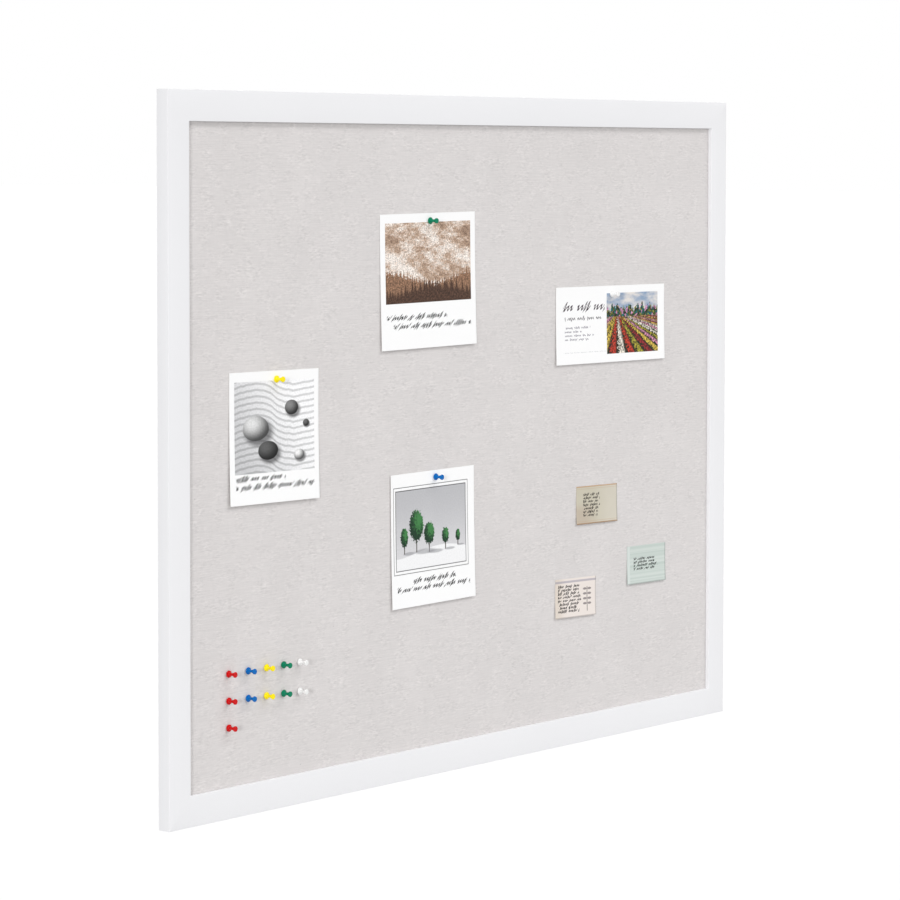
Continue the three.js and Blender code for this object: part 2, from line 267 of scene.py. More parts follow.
class Graph:
    """A node tree, with a short call for each kind of node that these surfaces use."""

    def __init__(self, name, library="materials"):
        self.owner = getattr(bpy.data, library).new(name)
        self.owner.use_nodes = True
        self.tree = self.owner.node_tree
        self.tree.nodes.clear()

    def node(self, kind, inputs, **settings):
        """A new node; its inputs are values of other nodes, plain values or colours of 0 to 255."""
        node = self.tree.nodes.new("ShaderNode" + kind)
        for key, setting in settings.items():
            setattr(node, key, setting)
        for key, given in inputs.items():
            socket = node.inputs[key]
            if isinstance(given, Value):
                self.tree.links.new(given.socket, socket)
            else:
                socket.default_value = srgb(*given) if socket.type == "RGBA" else given
        return node

    def value(self, kind, inputs, output=0, **settings):
        """One output of a new node."""
        return Value(self, self.node(kind, inputs, **settings).outputs[output])

    def surface(self, colour, roughness, specular=0.5, **others):
        """Ends the tree in a shader, whose other inputs go by their own names, and gives the material."""
        inputs = {"Base Color": colour, "Roughness": roughness, "Specular IOR Level": specular}
        shader = self.value("BsdfPrincipled", inputs | others)
        self.node("OutputMaterial", {0: shader})
        return self.owner

    def math(self, operation, *values):
        return self.value("Math", dict(enumerate(values)), operation=operation)

    def vector(self, operation, first, second, output=0):
        return self.value("VectorMath", {0: first, 1: second}, output, operation=operation)

    def place(self):
        """Where a point is on the resting board, in millimetres."""
        coords = self.value("TexCoord", {}, "Object")
        return self.vector("MULTIPLY", coords, (1 / MM,) * 3)

    def stretch(self, vector, x, y, z):
        return self.vector("MULTIPLY", vector, (x, y, z))

    def axes(self, vector):
        return [Value(self, output) for output in self.node("SeparateXYZ", {0: vector}).outputs]

    def along(self, vector, direction):
        return self.vector("DOT_PRODUCT", vector, tuple(direction), "Value")

    def noise(self, vector, scale, detail=2.0, roughness=0.5):
        inputs = {"Vector": vector, "Scale": scale, "Detail": detail, "Roughness": roughness}
        return self.value("TexNoise", inputs, "Fac")

    def wander(self, number, scale, detail=1.0):
        """Noise along one number."""
        inputs = {"W": number, "Scale": scale, "Detail": detail}
        return self.value("TexNoise", inputs, "Fac", noise_dimensions="1D")

    def chance(self, number):
        """A fixed random number of 0 to 1 for each number."""
        return self.value("TexWhiteNoise", {"W": number}, "Value", noise_dimensions="1D")

    def cells(self, inputs, **settings):
        """Uneven cells: how far a point is from its cell's middle, and the cell's own random number."""
        cell = self.node("TexVoronoi", inputs, **settings).outputs
        return Value(self, cell["Distance"]), self.axes(Value(self, cell["Color"]))[0]

    def rise(self, number, low, high):
        """0 up to low and 1 from high on, or the other way round where low is the larger."""
        inputs = {"Value": number, "From Min": low, "From Max": high}
        return self.value("MapRange", inputs, interpolation_type="SMOOTHSTEP")

    def span(self, number, low, high):
        """Spreads 0 to 1 over low to high."""
        return self.value("MapRange", {"Value": number, "To Min": low, "To Max": high})

    def within(self, number, low, high, soft):
        return self.rise(number, low - soft, low + soft) * self.rise(number, high + soft, high - soft)

    def mix(self, share, first, second):
        return self.value("Mix", {0: share, 6: first, 7: second}, 2, data_type="RGBA")

    def tint(self, colour, factor):
        """A colour made lighter or darker by a number near 1."""
        inputs = {0: 1.0, 6: colour, 7: factor}
        return self.value("Mix", inputs, 2, data_type="RGBA", blend_type="MULTIPLY")

    def palette(self, number, colours):
        """Equal steps of plain colours over 0 to 1."""
        node = self.node("ValToRGB", {0: number})
        ramp = node.color_ramp
        ramp.interpolation = "CONSTANT"
        while len(ramp.elements) < len(colours):
            ramp.elements.new(1.0)
        for index, colour in enumerate(colours):
            ramp.elements[index].position = index / len(colours)
            ramp.elements[index].color = srgb(*colour)
        return Value(self, node.outputs["Color"])

    def bump(self, height, depth):
        """A surface normal from heights of 0 to 1, with the full depth in millimetres."""
        inputs = {"Height": height, "Distance": depth * MM, "Strength": 1.0}
        return self.value("Bump", inputs, "Normal")

    def weave(self, place, pitch):
        """Crossed waves over the face: half a wave for each yarn of a cloth or wire of a screen."""
        x, _, z = self.axes(place)
        rate = math.pi / pitch
        return self.math("SINE", x * rate) * self.math("SINE", z * rate)

    def seen_rays(self):
        """1 for a ray that comes from the eye, straight or by way of metal or glass."""
        ray = self.node("LightPath", {}).outputs
        seen = Value(self, ray["Is Camera Ray"])
        for kind in ("Is Glossy Ray", "Is Transmission Ray"):
            seen = self.math("MAXIMUM", seen, Value(self, ray[kind]))
        return seen


def paint_material():
    """Satin white paint with a slight orange peel."""
    g = Graph("white_paint")
    place = g.place()
    drift = g.noise(place, 0.006, 3.0)
    peel = g.noise(place, 0.7, 3.0)
    colour = g.mix(drift, (240, 240, 242), (236, 236, 238))
    rough = g.span(g.noise(place, 0.05), 0.42, 0.55)
    return g.surface(colour, rough, 0.2, Normal=g.bump(peel, 0.03))


def linen_material():
    """Plain-woven linen: crossed yarns of uneven weight, with slubs and a few dark flecks."""
    g = Graph("linen")
    place = g.place()
    crossing = g.weave(place, YARN_PITCH)
    grain = g.noise(g.stretch(place, 0.14, 0.3, 0.47), 1.0, 2.0, 0.6)
    patch = g.noise(place, 0.05, 1.0)
    weft = g.noise(g.stretch(place, 0.025, 0.4, 0.8), 1.0, 3.0, 0.6)
    warp = g.noise(g.stretch(place, 0.95, 0.4, 0.05), 1.0, 3.0, 0.6)
    cloud = g.noise(place, 0.012, 3.0)
    slub = g.rise(g.noise(g.stretch(place, 0.06, 0.4, 0.7), 1.0, 1.0), 0.66, 0.74)
    distance, chance = g.cells({"Vector": place, "Scale": 0.045})
    fleck = g.rise(chance, 0.8, 0.82) * g.rise(distance, 0.055, 0.03)
    level = g.span(weft, -0.12, 0.12) + g.span(warp, -0.04, 0.04) + g.span(cloud, -0.05, 0.05)
    level += (grain - 0.5) * g.rise(patch, 0.25, 0.8) * 0.62
    level += crossing * 0.02 + slub * 0.03 - fleck * 0.2
    height = crossing * 0.35 + weft * 0.6 + warp * 0.6
    colour = g.tint((219, 215, 214), level + 1.0)
    sheen = {"Sheen Weight": 0.08, "Sheen Roughness": 0.6}
    return g.surface(colour, 0.92, 0.2, Normal=g.bump(height, 0.16), **sheen)


def plastic_material(name, colour):
    """Moulded gloss plastic with faint flow marks."""
    g = Graph(name)
    place = g.place()
    flow = g.noise(g.stretch(place, 0.5, 0.15, 0.5), 1.0, 2.0)
    colour = g.tint(colour, g.span(flow, 0.92, 1.06))
    rough = g.span(g.noise(place, 1.2), 0.14, 0.24)
    return g.surface(colour, rough, 0.15, Normal=g.bump(g.noise(place, 2.0), 0.01))


def steel_material():
    """Zinc-plated steel with fine scratches and a cloudy plating."""
    g = Graph("plated_steel")
    place = g.place()
    scratch = g.noise(g.stretch(place, 0.2, 6.0, 6.0), 1.0, 3.0, 0.7)
    cloud = g.noise(place, 0.25, 3.0)
    colour = g.mix(cloud, (128, 130, 134), (162, 164, 167))
    return g.surface(colour, g.span(scratch, 0.22, 0.46), Metallic=1.0, Normal=g.bump(scratch, 0.012))


def hardboard_material():
    """Brown hardboard whose rough side keeps the print of the screen that it was pressed on."""
    g = Graph("hardboard")
    place = g.place()
    mesh = g.weave(place, SCREEN_PITCH)
    fibre = g.noise(g.stretch(place, 0.5, 0.5, 0.9), 1.0, 4.0, 0.65)
    cloud = g.noise(place, 0.01, 3.0)
    colour = g.mix(cloud, (120, 86, 56), (146, 108, 74))
    shade = g.span(fibre, 0.82, 1.14) + mesh * 0.03
    relief = mesh * 0.4 + fibre
    return g.surface(g.tint(colour, shade), 0.78, 0.25, Normal=g.bump(relief, 0.12))


def cork_material():
    """Pressed cork granules."""
    g = Graph("cork")
    place = g.place()
    distance, chance = g.cells({"Vector": place, "Scale": 0.35})
    colour = g.mix(chance, (158, 112, 68), (206, 164, 112))
    gap = g.rise(distance, 0.75, 0.45)
    return g.surface(g.tint(colour, g.span(gap, 0.72, 1.0)), 0.9, Normal=g.bump(gap, 0.15))


def rubber_material():
    """Dull black rubber."""
    g = Graph("rubber")
    place = g.place()
    dust = g.noise(place, 0.6, 3.0)
    colour = g.mix(dust, (36, 36, 37), (52, 52, 53))
    return g.surface(colour, g.span(dust, 0.7, 0.9), Normal=g.bump(g.noise(place, 3.0), 0.02))


def paper_material(name, colour):
    """Plain paper with a little tooth, for the backs and edges of cards and notes."""
    g = Graph(name)
    tooth = g.noise(g.place(), 1.6, 3.0)
    return g.surface(g.tint(colour, g.span(tooth, 0.985, 1.01)), 0.7, Normal=g.bump(tooth, 0.012))


class Face(Graph):
    """The printed side of a sheet; u and v are across and up from its middle, in millimetres."""

    def __init__(self, name, sheet):
        super().__init__(name)
        from_middle = self.vector("SUBTRACT", self.place(), tuple(sheet["middle"] / MM))
        self.u = self.along(from_middle, sheet["across"])
        self.v = self.along(from_middle, sheet["up"])
        self.half_width = sheet["width"] / 2 / MM
        self.half_height = sheet["height"] / 2 / MM

    def spot(self):
        return self.value("CombineXYZ", {0: self.u, 1: self.v})


def ellipse(g, centre, radii, shift=(0.0, 0.0)):
    """How far out a point is in an ellipse: 1 on its edge. The shift of its centre is in radii."""
    across = (g.u - (centre[0] + shift[0] * radii[0])) / radii[0]
    up = (g.v - (centre[1] + shift[1] * radii[1])) / radii[1]
    return g.math("SQRT", across * across + up * up)


def box(g, low, high, soft=0.25):
    """1 inside a rectangle and 0 outside it."""
    return g.within(g.u, low[0], high[0], soft) * g.within(g.v, low[1], high[1], soft)


def outline(g, low, high, width):
    """A thin drawn line round a rectangle."""
    soft = width / 3
    inner = box(g, (low[0] + width, low[1] + width), (high[0] - width, high[1] - width), soft)
    return box(g, low, high, soft) - inner


def scribble(g, start, end, top, rows, pitch, pen, seed, ragged=0.0):
    """Rows of a letterless pen line: a leaning wave with tall and deep loops, broken as words are."""
    height, wave, stroke, slant = pen
    turn = 2 * math.pi
    down = top - g.v
    row = g.math("FLOOR", down / pitch)
    level = (row + 0.5) * pitch - down
    run = g.u - level * slant
    # Each row has its own number, so that no two rows run alike. A draw depends on how its number is
    # rounded, so what is drawn from comes from one node
    own = g.math("MULTIPLY_ADD", row, 37.7, seed)
    drift = g.wander(run + own, 0.4 / wave)
    phase = run * (turn / wave) + drift * 6.0
    loop = g.chance(g.math("MULTIPLY_ADD", own, 9.1, g.math("FLOOR", phase / turn)))
    sine = g.math("SINE", phase)
    cosine = g.math("COSINE", phase)
    # Some loops reach higher or lower than the rest
    tall = g.rise(loop, 0.72, 0.74) * 1.6 + 1.0
    deep = g.rise(loop, 0.13, 0.11) * 1.2 + 1.0
    upper = g.math("MAXIMUM", sine, 0.0) * tall
    lower = g.math("MINIMUM", sine, 0.0) * deep
    curve = (upper + lower) * (height / 2)
    steep = g.math("ABSOLUTE", cosine) * (tall * deep) * (turn / wave * height / 2)
    # The stroke is thinner on the way up, and a steep part is measured across its slope
    weight = 0.8 - cosine * 0.3
    reach = (steep + 1.0) * weight * (stroke / 2)
    gap = g.math("ABSOLUTE", level - curve)
    ink = g.rise(gap - reach, stroke * 0.25, -stroke * 0.1)
    word = 5.4 * wave
    inputs = {"W": own * 1.7 + run / word, "Scale": 1.0}
    settings = {"voronoi_dimensions": "1D", "feature": "DISTANCE_TO_EDGE"}
    breaks = g.value("TexVoronoi", inputs, "Distance", **settings)
    words = g.rise(breaks, 0.5 * wave / word, 0.6 * wave / word)
    last = end - g.chance(own) * (ragged * (end - start))
    inside = g.rise(g.u, start - 0.3, start + 0.3) * g.rise(last - g.u, -0.3, 0.3)
    in_rows = g.within(g.v, top - rows * pitch, top, 0.02)
    return ink * words * (inside * in_rows)


def paper_finish(g, colour, roughness):
    """Printed or written paper with a little tooth."""
    tooth = g.noise(g.place(), 1.6, 3.0)
    return g.surface(colour, roughness, 0.2, Normal=g.bump(tooth, 0.01))


def card_finish(g, colour, picture):
    """A card whose picture is a little glossier than the paper round it."""
    return paper_finish(g, colour, g.span(picture, PAPER_ROUGHNESS, PICTURE_ROUGHNESS))


def card_lines(g, colour, pitch, lines):
    """Pen lines below a card's picture, each with its start, its end, its top and its seed."""
    for start, end, top, seed in lines:
        line = scribble(g, start, end, top, 1, pitch, CARD_PEN, seed)
        colour = g.mix(line, colour, INK)
    return colour


def printed_grain(g, colour, amount):
    """Fine printed grain over a picture."""
    speck = g.rise(g.noise(g.spot(), 0.42, 4.0, 0.75), 0.25, 0.75)
    return g.tint(colour, g.span(speck, 1 - amount, 1 + amount))


def warm_print(sheet):
    """Sepia clouds over a dark line of firs, with two pen lines below."""
    g = Face("warm_print", sheet)
    spot = g.spot()
    cloud = g.noise(g.stretch(spot, 0.014, 0.026, 1.0), 1.0, 9.0, 0.8)
    colour = g.mix(g.rise(cloud, 0.3, 0.5), (92, 66, 50), (190, 162, 140))
    colour = g.mix(g.rise(cloud, 0.44, 0.58), colour, (240, 231, 223))
    needles = g.rise(g.noise(spot, 0.35, 4.0, 0.7), 0.3, 0.7)
    ridges = [
        (2.0, 7.0, 0.034, 4.4, 9.0, (134, 102, 80)),
        (-16.0, 6.0, 0.026, 1.2, 14.0, (72, 50, 38)),
    ]
    for base, swell, pace, start, firs, tone in ridges:
        slope = g.math("SINE", g.u * pace + start) * swell + base
        inputs = {"W": g.u * (2.2 / firs) + 7.0 * start, "Scale": 1.0}
        distance, chance = g.cells(inputs, voronoi_dimensions="1D")
        height = g.span(chance, 0.3 * firs, 1.2 * firs)
        fir = g.math("MAXIMUM", 1.0 - distance * 2.2, 0.0) * height
        below = slope + fir - g.v + g.span(needles, -0.4 * firs, 0.4 * firs)
        wood = g.tint(tone, g.span(needles, 0.4, 1.8))
        colour = g.mix(g.rise(below, -0.4, 0.4), colour, wood)
    picture = box(g, (-91.0, -29.0), (91.0, 78.0))
    colour = g.mix(picture, CARD_WHITE, printed_grain(g, colour, 0.6))
    colour = card_lines(g, colour, 14.0, [(-90.0, 38.0, -41.0, 3.0), (-76.0, 90.0, -53.0, 11.0)])
    return card_finish(g, colour, picture)


def pebbles(g, colour, stones):
    """Rounded stones with soft shadows on a picture's ground."""
    ragged = g.span(g.wander(g.u + g.v, 0.05), -0.06, 0.06)
    for centre, radii, shade in stones:
        cast = ellipse(g, centre, radii, (0.22, -0.35))
        colour = g.mix(g.rise(cast, 1.35, 0.8) * 0.75, colour, (58, 58, 60))
        edge = ellipse(g, centre, radii) + ragged
        lit = ellipse(g, centre, radii, (-0.3, 0.4))
        stone = g.mix(g.rise(lit, 0.1, 1.4), (shade + 60,) * 3, (shade * 0.4,) * 3)
        colour = g.mix(g.rise(edge, 1.02, 0.97), colour, stone)
    return colour


def grey_print(sheet):
    """Dark and pale stones on raked sand in greys, with two pen lines below."""
    g = Face("grey_print", sheet)
    furrow = 8.0
    bend = g.math("SINE", g.u * 0.035) * 9.0 + g.wander(g.u, 0.02, 2.0) * 14.0 + g.v
    rake = g.math("SINE", bend * (2 * math.pi / furrow))
    light = g.rise(g.u + g.v * 0.6, -110.0, 90.0)
    sand = g.mix(light, (196, 196, 198), (246, 246, 247))
    groove = g.rise(rake, -0.1, 1.0)
    colour = g.tint(sand, 1.06 - groove * 0.34)
    stones = [
        ((-36.0, 12.0), (25.0, 16.0), 168),
        ((-13.0, -17.0), (19.0, 12.0), 34),
        ((33.0, 36.0), (13.0, 9.5), 74),
        ((47.0, -25.0), (10.0, 7.0), 190),
        ((61.0, 15.0), (6.0, 4.5), 46),
    ]
    colour = pebbles(g, colour, stones)
    picture = box(g, (-76.5, -45.0), (77.0, 71.5))
    colour = g.mix(picture, CARD_WHITE, printed_grain(g, colour, 0.16))
    colour = card_lines(g, colour, 13.0, [(-75.0, 20.0, -45.0, 23.0), (-75.0, 76.0, -56.0, 31.0)])
    return card_finish(g, colour, picture)


def leaf_print(sheet):
    """Round green trees in pale mist inside a double line, with two pen lines below."""
    g = Face("leaf_print", sheet)
    low, high = (-80.5, -40.5), (71.0, 67.5)
    mist = g.rise(g.wander(g.u, 0.02, 2.0) * 26.0 + g.v, -60.0, 80.0)
    colour = g.mix(mist, (228, 227, 229), (190, 190, 193))
    hill = g.math("SINE", g.u * 0.03 + 1.0) * 6.0 - 18.0
    colour = g.mix(g.rise(hill - g.v, -0.8, 0.8), colour, (245, 245, 246))
    leaves = g.noise(g.spot(), 0.33, 3.0, 0.6)
    trees = [
        ((53.0, -2.0), (5.0, 8.0)),
        ((26.0, 0.0), (7.5, 11.0)),
        ((-62.0, 4.0), (8.0, 13.0)),
        ((-9.0, 6.0), (11.0, 15.0)),
        ((-36.0, 18.0), (15.0, 21.0)),
    ]
    for centre, radii in trees:
        foot = centre[1] - 1.7 * radii[1]
        trunk = box(g, (centre[0] - 0.9, foot), (centre[0] + 0.9, centre[1]))
        cast = ellipse(g, (centre[0] + 1.2 * radii[0], foot), (1.6 * radii[0], 0.18 * radii[1]))
        colour = g.mix(g.rise(cast, 1.2, 0.6) * 0.6, colour, (138, 138, 143))
        colour = g.mix(trunk, colour, (58, 50, 40))
        edge = ellipse(g, centre, radii) + g.span(leaves, -0.45, 0.45)
        side = ellipse(g, centre, radii, (0.4, 0.4))
        lit = g.rise(side + g.span(leaves, -1.2, 1.2), 0.2, 1.1)
        crown = g.mix(lit, (64, 128, 70), (10, 48, 26))
        colour = g.mix(g.rise(edge, 1.03, 0.95), colour, crown)
    picture = box(g, low, high)
    colour = g.mix(picture, CARD_WHITE, printed_grain(g, colour, 0.06))
    for gap, width in ((0.0, 1.2), (4.5, 1.0)):
        border = outline(g, (low[0] - gap, low[1] - gap), (high[0] + gap, high[1] + gap), width)
        colour = g.mix(border * 0.9, colour, (74, 74, 76))
    colour = card_lines(g, colour, 12.0, [(-44.0, 47.0, -50.0, 41.0), (-78.0, 78.0, -60.5, 57.0)])
    return card_finish(g, colour, picture)


def tulip_field(g):
    """Rows of tulips that run to a blossoming hedge, under a pale sky, in loose dabs of paint."""
    spot = g.spot()
    dabs = g.rise(g.noise(spot, 0.3, 4.0, 0.75), 0.36, 0.64)
    sky = g.noise(g.stretch(spot, 0.03, 0.07, 1.0), 1.0, 4.0)
    colour = g.mix(g.rise(sky, 0.35, 0.65), (140, 162, 190), (232, 226, 220))
    horizon = 10.0
    hedge_top = g.wander(g.u, 0.1, 3.0) * 34.0 + (horizon - 6.0) + dabs * 5.0
    _, chance = g.cells({"Vector": spot, "Scale": 0.28})
    green = g.palette(chance, [
        (24, 34, 20), (58, 74, 32), (120, 124, 48), (16, 96, 96), (206, 140, 178),
    ])
    green = g.tint(green, g.span(dabs, 0.15, 1.5))
    colour = g.mix(g.rise(hedge_top - g.v, -0.5, 0.5), colour, green)
    near = g.math("MAXIMUM", horizon - g.v, 0.0) + 7.0
    across = g.math("DIVIDE", g.u * 2.6 + g.span(dabs, -50.0, -30.0), near)
    flower = g.palette(g.chance(g.math("FLOOR", across)), [
        (226, 196, 84), (196, 60, 40), (224, 182, 140), (222, 150, 180), (240, 232, 218),
        (150, 40, 44), (178, 168, 58),
    ])
    row = g.math("PINGPONG", across, 0.5)
    flower = g.tint(flower, g.span(dabs, 0.1, 1.3))
    field = g.mix(g.rise(row + dabs * 0.2, 0.25, 0.36), (20, 28, 12), flower)
    return g.mix(g.rise(horizon - g.v, -0.5, 0.5), colour, field)


def greeting_print(sheet):
    """A painted tulip field beside pen lines of three sizes."""
    g = Face("greeting_print", sheet)
    picture = box(g, (-11.0, -43.0), (115.5, 44.0))
    colour = g.mix(picture, CARD_WHITE, tulip_field(g))
    heading = scribble(g, -116.0, -16.0, top=38.0, rows=1, pitch=26.0, pen=HEADING_PEN, seed=63.0)
    subtitle = scribble(g, -112.0, -22.0, top=14.5, rows=1, pitch=10.0, pen=SUBTITLE_PEN, seed=71.0)
    body = scribble(g, -112.0, -40.0, top=-0.6, rows=4, pitch=5.5, pen=BODY_PEN, seed=83.0, ragged=0.5)
    rule = scribble(g, -116.0, -14.0, top=-36.5, rows=1, pitch=4.0, pen=RULE_PEN, seed=91.0)
    colour = g.mix(heading * 0.95, colour, (52, 34, 48))
    colour = g.mix(subtitle * 0.9, colour, (58, 52, 60))
    colour = g.mix(body * 0.85, colour, (80, 72, 98))
    colour = g.mix(rule * 0.5, colour, (130, 128, 140))
    return card_finish(g, colour, picture)


def note_finish(g, colour, ink, tone):
    """A note with its pen lines, and with a painted shadow that darkens its right and lower edges."""
    # Painted shadow: a dark rim along the right and lower edges stands in for the shade of the raised paper
    right = g.rise(g.u, g.half_width - PAINTED_SHADOW_RIGHT[0], g.half_width - PAINTED_SHADOW_RIGHT[1])
    lower = g.rise(g.v, PAINTED_SHADOW_LOWER[0] - g.half_height, PAINTED_SHADOW_LOWER[1] - g.half_height)
    painted_shadow = g.span(g.math("MAXIMUM", right, lower), 1.0, PAINTED_SHADOW_DEPTH)
    return paper_finish(g, g.tint(g.mix(ink, colour, tone), painted_shadow), PAPER_ROUGHNESS)


def beige_print(sheet):
    """A beige note with tan bands along its edges and a block of pen lines."""
    g = Face("beige_print", sheet)
    stain = g.noise(g.spot(), 0.05, 3.0)
    colour = g.mix(g.rise(g.u, -20.0, 44.0), (202, 196, 178), (211, 205, 191))
    corner = g.rise(g.u, 10.0, -34.0) * g.rise(g.v, 6.0, -10.0)
    colour = g.tint(g.mix(corner, colour, (194, 182, 165)), g.span(stain, 0.96, 1.04))
    half = g.half_height
    for edge in (-1, 1):
        band = g.rise(g.v * edge, half - 2.1, half - 1.5)
        line = g.within(g.v * edge, half - 4.4, half - 3.8, 0.2)
        colour = g.mix(band * 0.8, colour, (192, 156, 124))
        colour = g.mix(line * 0.6, colour, (198, 168, 138))
    ink = scribble(g, -33.0, 14.0, top=17.0, rows=7, pitch=4.9, pen=BEIGE_PEN, seed=7.0, ragged=0.3)
    return note_finish(g, colour, ink, (34, 30, 28))


def mint_print(sheet):
    """A mint note with faint stripes, a pale margin and four pen lines."""
    g = Face("mint_print", sheet)
    stripe = g.wander(g.v, 0.22, 2.0)
    colour = g.mix(g.rise(stripe, 0.35, 0.65), (196, 207, 201), (211, 219, 214))
    colour = g.mix(g.rise(g.u, -40.5, -42.5), colour, (214, 222, 218))
    ink = scribble(g, -32.0, 34.0, top=10.5, rows=4, pitch=4.8, pen=MINT_PEN, seed=17.0, ragged=0.25)
    return note_finish(g, colour, ink, (30, 36, 34))


def cream_print(sheet):
    """A cream note with a lilac band, and pen lines beside an inked sprig."""
    g = Face("cream_print", sheet)
    colour = g.mix(g.rise(g.u, -20.0, -45.0), (236, 227, 221), (224, 213, 202))
    top = g.half_height
    band = g.within(g.v, top - 6.0, top - 3.0, 0.4)
    colour = g.mix(band * 0.5, colour, (122, 120, 150))
    stem = 27.5
    colour = g.mix(box(g, (stem - 0.6, -21.0), (stem + 0.6, 14.0)), colour, (54, 46, 44))
    for level in (-11.0, -4.0, 3.0, 10.0):
        for side in (-1, 1):
            leaf = ellipse(g, (stem + 5.4 * side, level + 1.0), (4.6, 1.7))
            colour = g.mix(g.rise(leaf, 1.1, 0.85) * 0.7, colour, (84, 76, 84))
    ink = scribble(g, -42.0, 14.0, top=19.0, rows=8, pitch=5.0, pen=CREAM_PEN, seed=29.0, ragged=0.2)
    return note_finish(g, colour, ink, (30, 24, 24))


def place_object(name, data):
    """Puts a mesh, a lamp or a camera into the scene."""
    made = bpy.data.objects.new(name, data)
    bpy.context.scene.collection.objects.link(made)
    return made


def add_object(name, shape):
    """Puts a finished bmesh into the scene."""
    mesh = bpy.data.meshes.new(name)
    shape.to_mesh(mesh)
    shape.free()
    return place_object(name, mesh)


def add_piece(name, shape, materials, body, stands_for=()):
    """Makes a finished bmesh into a piece that rides on a body and stands for CAD nodes."""
    bmesh.ops.recalc_face_normals(shape, faces=shape.faces)
    piece = add_object(name, shape)
    piece.data.shade_smooth()
    piece.data.set_sharp_from_angle(angle=SMOOTH_ANGLE)
    for material in materials:
        piece.data.materials.append(material)
    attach(piece, body)
    if stands_for:
        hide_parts(*stands_for)
    return piece


def ease_edges(piece, width):
    """Rounds a piece's sharp edges, by a width in millimetres."""
    edge = piece.modifiers.new("edge", "BEVEL")
    edge.width = width * MM
    edge.segments = 2


def spread(steps):
    """Even steps from -1 to 1."""
    return [2 * step / steps - 1 for step in range(steps + 1)]


def arc(centre, radius, start, end, steps):
    """Points on an arc in a plane, with both of its ends."""
    points = []
    for step in range(steps + 1):
        angle = start + (end - start) * step / steps
        points.append((centre[0] + radius * math.cos(angle), centre[1] + radius * math.sin(angle)))
    return points


def circle(sides):
    """The cosines and sines of even steps round a circle."""
    angles = [2 * math.pi * side / sides for side in range(sides)]
    return [(math.cos(angle), math.sin(angle)) for angle in angles]


def bridge(shape, rows, closed=False):
    """Quads between rows of vertices that are alike in length."""
    for first, second in zip(rows, rows[1:]):
        count = len(first)
        for index in range(count if closed else count - 1):
            after = (index + 1) % count
            shape.faces.new((first[index], first[after], second[after], second[index]))


def skin(shape, rows, closed=False):
    """Vertices at rows of points, with quads between the rows."""
    made = [[shape.verts.new(point) for point in row] for row in rows]
    bridge(shape, made, closed)
    return made


def loft(rings):
    """A new shape: a skin through rings of points, with a flat cap on both ends."""
    shape = bmesh.new()
    made = skin(shape, rings, closed=True)
    for ring in (made[0], made[-1]):
        bmesh.ops.triangulate(shape, faces=[shape.faces.new(ring)])
    return shape


def rail_section(face, front, back):
    """The rail's section in metres: the distance in from the outer edge, and the depth."""
    rounding = FRONT_ROUNDING * MM
    eased = BACK_ROUNDING * MM
    lip_back = front + LIP_THICKNESS * MM
    wall = face - REBATE_WIDTH * MM
    points = arc((eased, back - eased), eased, QUARTER, 2 * QUARTER, BACK_STEPS)
    points += arc((rounding, front + rounding), rounding, 2 * QUARTER, 3 * QUARTER, FRONT_STEPS)
    points += arc((face - rounding, front + rounding), rounding, 3 * QUARTER, 4 * QUARTER, FRONT_STEPS)
    points += [(face, lip_back), (wall, lip_back)]
    points += arc((wall - eased, back - eased), eased, 0, QUARTER, BACK_STEPS)
    return points


def board_sides():
    """Each side of the board: its name, its turn from the top, its length and how far out it is."""
    half_width, half_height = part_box("rail_right")[1].x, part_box("rail_top")[1].z
    for turn, side in enumerate(("top", "right", "bottom", "left")):
        half, reach = (half_height, half_width) if turn % 2 else (half_width, half_height)
        yield side, Matrix.Rotation(turn * QUARTER, 4, "Y"), 2 * half, reach


def add_rails(material):
    """Four rails, each from one section with both ends cut at 45 degrees."""
    low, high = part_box("rail_top")
    section = rail_section(high.z - low.z, low.y, high.y)
    for side, turned, length, reach in board_sides():
        rings = []
        for share in spread(RAIL_STATIONS):
            ring = []
            for inset, depth in section:
                end = length / 2 - inset - MITRE_GAP * MM / 2
                ring.append(turned @ Vector((share * end, depth, reach - inset)))
            rings.append(ring)
        add_piece(f"painted_rail_{side}", loft(rings), [material], "board", [f"rail_{side}"])


def wrap_path(front, hem):
    """The linen's way round the panel's edge: how far out from the flat face, and the depth."""
    fold = CLOTH_FOLD * MM
    path = arc((0.0, front + fold), fold, -QUARTER, 0, FOLD_STEPS)
    path += arc((0.0, hem - fold), fold, 0, QUARTER, FOLD_STEPS)
    for step in range(1, HEM_STEPS + 1):
        path.append((-(HEM_WIDTH * MM - fold) * step / HEM_STEPS, hem))
    return path


def linen_flap(path, half, axis, side):
    """Rows of cloth round one edge of the panel, and of its hem, which narrows to the mitres."""
    for out, depth in path:
        reach = side * (half[axis] + out)
        limit = half[1 - axis]
        if out < 0:
            limit += out - HEM_SEAM * MM
        crosses = [share * limit for share in spread(LINEN_STEPS[1 - axis])]
        yield [(reach, depth, cross) if axis == 0 else (cross, depth, reach) for cross in crosses]


def linen_corner(path, half, side_x, side_z):
    """Rows of cloth round one corner of the panel, between two flaps."""
    for out, depth in path:
        if out >= 0:
            points = arc((0.0, 0.0), out, 0, QUARTER, CORNER_STEPS)
            yield [(side_x * (half[0] + x), depth, side_z * (half[1] + z)) for x, z in points]


def sharpen_border(mesh):
    """Keeps the shading of a cloth's faces apart from that of its cut edge."""
    shape = bmesh.new()
    shape.from_mesh(mesh)
    for edge in shape.edges:
        if edge.is_boundary:
            edge.smooth = False
    shape.to_mesh(mesh)
    shape.free()


